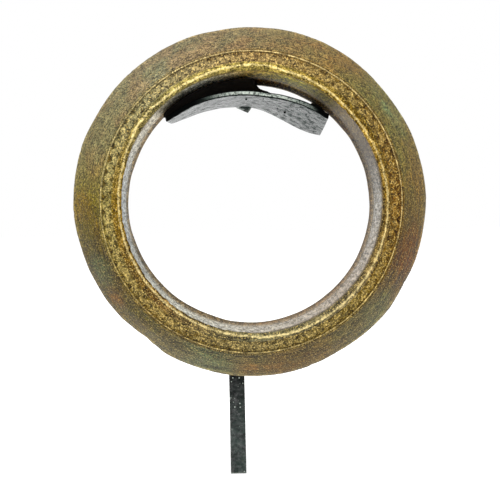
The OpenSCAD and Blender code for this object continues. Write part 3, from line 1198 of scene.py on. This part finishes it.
def makeHanger(material):
    shape = barShape
    bm = bmesh.new()
    middle = (hangerLow.x + hangerHigh.x) / 2
    edges = squareSection(bm, Vector((1, 0, 0)), Vector((0, 1, 0)), Vector((middle, 0, hangerLow.z)))[1]
    extrudeUp(bm, edges, hangerHigh.z - hangerLow.z, shape["hangerSteps"])
    leftRise, rightRise = shape["tipRises"]
    for v in bm.verts:
        # the lower end is sawn to a blunt point
        lean = (v.co.x - middle) / mm - shape["tipPlace"]
        v.co.z = max(v.co.z, hangerLow.z + abs(lean) * (leftRise if lean < 0 else rightRise) * mm)
    bmesh.ops.remove_doubles(bm, verts=bm.verts[:], dist=0.000002)
    bmesh.ops.holes_fill(bm, edges=openEdges(bm))
    roughen(bm, 11.0)
    # the upper end stays inside the arm's inner curve
    for v in bm.verts:
        reach = math.hypot(v.co.x - ringCentre.x, v.co.z - ringCentre.z)
        if reach > armInner:
            v.co.z -= reach - armInner
    return finishBar(bm, "hangerBar", material, ["hanger"])


def makeWeld(name, x, z, material):
    # a rippled bead laid from front to rear along a bar's corner
    shape = weldShape
    bm = bmesh.new()
    radius = shape["radius"] * mm
    end = barSide / 2 - shape["inset"] * mm
    start = Vector((x, -end, z))
    line = Vector((x, end, z)) - start
    across = line.normalized().orthogonal()
    up = line.normalized().cross(across)
    thin = shape["endShare"]
    angles = [i * 2 * math.pi / shape["sides"] for i in range(shape["sides"])]
    loop = [bm.verts.new(start + (across * math.cos(a) + up * math.sin(a)) * radius * thin) for a in angles]
    outer = joinedUp(bm, loop)
    for i in range(shape["steps"]):
        verts, outer = extrudeLoop(bm, outer, line / shape["steps"])
        share = (i + 1) / shape["steps"]
        full = min(1.0, shape["endSlope"] * share, shape["endSlope"] * (1 - share))
        ripple = 1 - shape["ripple"] + shape["ripple"] * math.cos(i * shape["rippleTurn"])
        wide = radius * (thin + (1 - thin) * full) * ripple
        centre = start + line * share
        for v in verts:
            v.co = centre + (v.co - centre).normalized() * wide
    bmesh.ops.holes_fill(bm, edges=openEdges(bm))
    return finishBar(bm, name, material)


bronze = makeBronze()
paint = makePaint()
felt = makeFelt()
makeRing(bronze)
makeStrip(paint)
for padName, padShape in padShapes.items():
    makePad(padName, padShape, felt)
makePost(paint)
makeArm(paint)
makeHanger(paint)
postEdge = -barSide / 2
postTop = ringCentre.z - math.sqrt(armOuter ** 2 - (ringCentre.x - postEdge) ** 2)
makeWeld("postWeld", postEdge, postTop, paint)
makeWeld("hangerWeld", hangerLow.x, ringCentre.z + weldShape["hangerHeight"] * mm, paint)


studio = {
    "cameraPlace": (-5.2, -354.7, 86.2),   # mm
    "lens": 80.0,
    "sensorWidth": 36,
    "clip": (0.01, 20),                    # metres
    "yaw": 1.66,
    "pitch": -2.39,
    "roll": -1.14,
    "floorSize": 6.0,
    "floorDrop": 0.00005,
    "floorColour": (0.95, 0.95, 0.95, 1),
    "floorRoughness": 0.9,
    "floorGlow": 0.5,
    "backLight": 1.0,
    "frontLight": 0.34,
    # each light's place and width in metres, then its power
    "lights": {
        "keyLight": ((-0.15, -0.45, 0.75), 0.4, 8.0),
        "edgeLight": ((-0.35, -0.5, 0.85), 0.09, 3.0),
        "fillLight": ((0.5, -0.6, 0.3), 0.4, 2.0),
    },
}


def makeFloor():
    bm = bmesh.new()
    bmesh.ops.create_circle(bm, cap_ends=True, radius=studio["floorSize"] / 2, segments=96)
    mesh = bpy.data.meshes.new("floor")
    bm.to_mesh(mesh)
    bm.free()
    floor = bpy.data.objects.new("floor", mesh)
    bpy.context.scene.collection.objects.link(floor)
    floor.location.z = -studio["floorDrop"]
    material, shader = newMaterial("paleFloor")
    shader.inputs["Base Color"].default_value = studio["floorColour"]
    shader.inputs["Roughness"].default_value = studio["floorRoughness"]
    shader.inputs["Emission Color"].default_value = (1, 1, 1, 1)
    shader.inputs["Emission Strength"].default_value = studio["floorGlow"]
    mesh.materials.append(material)


def makeWorld():
    # white to the camera, and a softer light from the front than from behind
    world = bpy.data.worlds.new("studio")
    bpy.context.scene.world = world
    world.use_nodes = True
    graph.tree = world.node_tree
    background = graph.tree.nodes["Background"]
    direction = addNode("ShaderNodeTexCoord").outputs["Generated"]
    parts = addNode("ShaderNodeSeparateXYZ", None, {0: direction}).outputs
    front, back = studio["frontLight"], studio["backLight"]
    glow = rampNode(plus(times(parts[1], 0.5), 0.5), [(0.0, front), (0.45, front), (0.8, back)])
    seen = addNode("ShaderNodeLightPath").outputs["Is Camera Ray"]
    plug(mixColour(seen, glow, (1, 1, 1, 1)), background.inputs["Color"])
    background.inputs["Strength"].default_value = 1.0


def makeLight(name, place, size, power):
    data = bpy.data.lights.new(name, "AREA")
    data.shape = "DISK"
    data.size = size
    data.energy = power
    light = bpy.data.objects.new(name, data)
    light.location = place
    light.rotation_euler = (ringCentre - Vector(place)).to_track_quat("-Z", "Y").to_euler()
    bpy.context.scene.collection.objects.link(light)


def makeCamera():
    data = bpy.data.cameras.new("camera")
    data.lens = studio["lens"]
    data.sensor_width = studio["sensorWidth"]
    data.clip_start, data.clip_end = studio["clip"]
    camera = bpy.data.objects.new("camera", data)
    bpy.context.scene.collection.objects.link(camera)
    turn = (Matrix.Rotation(math.radians(-studio["yaw"]), 4, "Z")
            @ Matrix.Rotation(math.radians(90 + studio["pitch"]), 4, "X")
            @ Matrix.Rotation(math.radians(studio["roll"]), 4, "Z"))
    camera.matrix_world = Matrix.Translation(Vector(studio["cameraPlace"]) * mm) @ turn
    bpy.context.scene.camera = camera


makeFloor()
makeWorld()
for lightName, (lightPlace, lightSize, lightPower) in studio["lights"].items():
    makeLight(lightName, lightPlace, lightSize, lightPower)
makeCamera()
bpy.context.scene.view_settings.view_transform = "Standard"
print("made studio")
